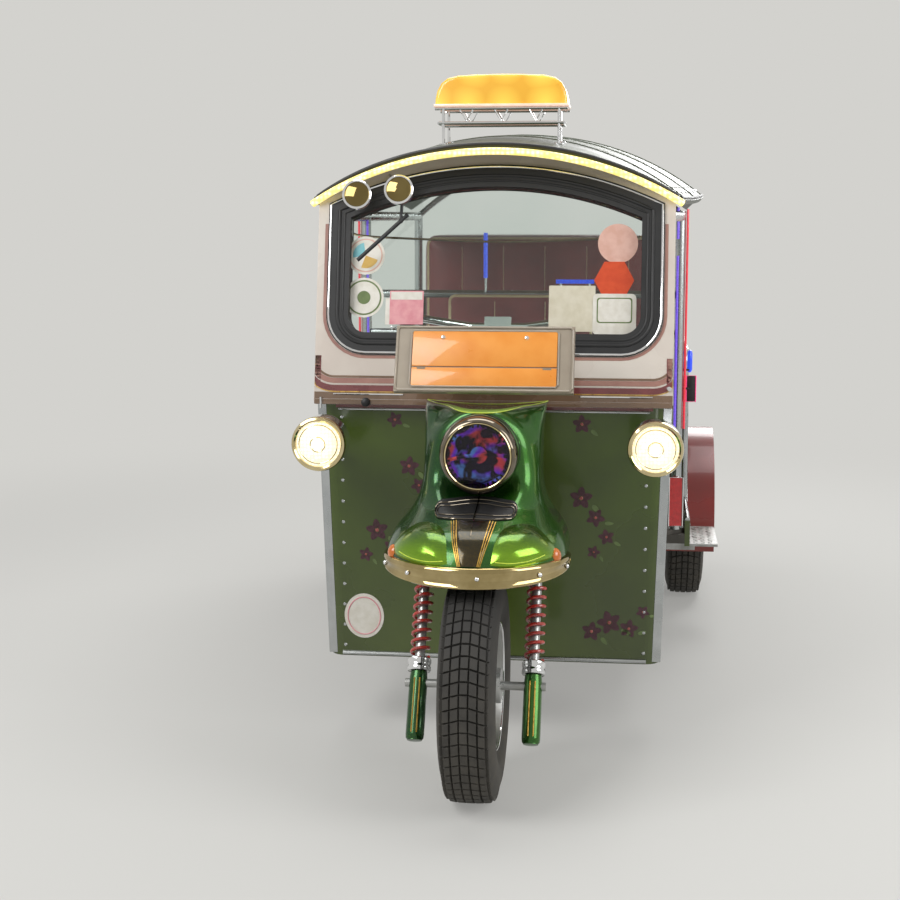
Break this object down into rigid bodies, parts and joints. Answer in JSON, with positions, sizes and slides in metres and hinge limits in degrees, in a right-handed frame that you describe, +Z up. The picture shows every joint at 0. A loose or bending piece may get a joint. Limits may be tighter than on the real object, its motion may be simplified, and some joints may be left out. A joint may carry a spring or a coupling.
{
  "type": "auto rickshaw",
  "caption": "Three-wheeled auto rickshaw: arched roof on posts, open passenger tub with bench seat, raked front fork under a flowing lamp nose.",
  "frame": {"origin": "on the ground at the centre of the whole vehicle's box", "axes": "+Z up, the front faces -Y, +X is the vehicle's left side"},
  "size_m": [1.256, 3.02, 1.712],
  "materials": {
    "black_steel": "satin",
    "cast_iron": "rough",
    "steel_sheet": "brushed",
    "green_panel": "gloss",
    "cream_paint": "gloss",
    "black_rubber": "matt",
    "glass": "clear",
    "chrome": "polished",
    "roof_vinyl": "grained",
    "warm_lamp": "lit",
    "steel_tube": "polished",
    "yellow_lamp": "lit",
    "tyre": "matt",
    "silver_paint": "gloss",
    "grey_paint": "satin",
    "red_paint": "gloss",
    "seat_vinyl": "satin",
    "tread_plate": "patterned",
    "red_spring": "gloss",
    "green_metallic": "metallic gloss",
    "lamp_glass": "lit",
    "red_lamp": "moulded"
  },
  "bodies": {
    "chassis": {"chassis_frame": "black_steel", "floor_pan": "black_steel", "engine_block": "cast_iron", "engine_cover": "steel_sheet", "front_panel": "green_panel", "windscreen_frame": "cream_paint", "windscreen_seal": "black_rubber", "windscreen_glass": "glass", "wiper": "black_steel", "front_mirrors": "chrome", "roof_shell": "roof_vinyl", "light_strip": "warm_lamp", "roof_frame": "steel_tube", "roof_sign": "yellow_lamp", "sign_rack": "black_steel", "rear_axle": "black_steel", "prop_shaft": "black_steel", "leaf_springs": "black_steel", "exhaust": "steel_tube", "gas_tank": "grey_paint", "side_panels": "green_panel", "rear_panel": "green_panel", "rear_fenders": "red_paint", "seat_box": "green_panel", "passenger_cushion": "seat_vinyl", "passenger_backrest": "seat_vinyl", "driver_cushion": "seat_vinyl", "driver_backrest": "seat_vinyl", "passenger_rails": "steel_tube", "side_steps": "tread_plate", "steering_head": "black_steel", "side_lamps": "chrome", "side_lamp_lenses": "lamp_glass", "plate_frame": "grey_paint", "red_lamps": "red_lamp", "rear_bumper": "chrome"},
    "steering": {"fork": "silver_paint", "fork_springs": "red_spring", "nose_mask": "green_metallic", "headlight_rim": "chrome", "headlight_lens": "glass", "nose_trim": "chrome", "handlebar": "chrome", "grips": "black_rubber"},
    "front_wheel": {"front_tyre": "tyre", "front_rim": "silver_paint"},
    "rear_wheel_left": {"rear_left_tyre": "tyre", "rear_left_rim": "silver_paint"},
    "rear_wheel_right": {"rear_right_tyre": "tyre", "rear_right_rim": "silver_paint"}
  },
  "joints": [
    {"name": "steering", "type": "hinge", "parent": "chassis", "child": "steering", "pos_m": [0, -0.82, 0.8], "axis": [0, 0.5, 0.866], "range_deg": [-40, 40]},
    {"name": "front_wheel_spin", "type": "hinge", "parent": "steering", "child": "front_wheel", "pos_m": [0, -1.24, 0.27], "axis": [1, 0, 0], "continuous": true},
    {"name": "rear_left_spin", "type": "hinge", "parent": "chassis", "child": "rear_wheel_left", "pos_m": [0.534, 0.96, 0.27], "axis": [1, 0, 0], "continuous": true},
    {"name": "rear_right_spin", "type": "hinge", "parent": "chassis", "child": "rear_wheel_right", "pos_m": [-0.534, 0.96, 0.27], "axis": [1, 0, 0], "continuous": true}
  ]
}
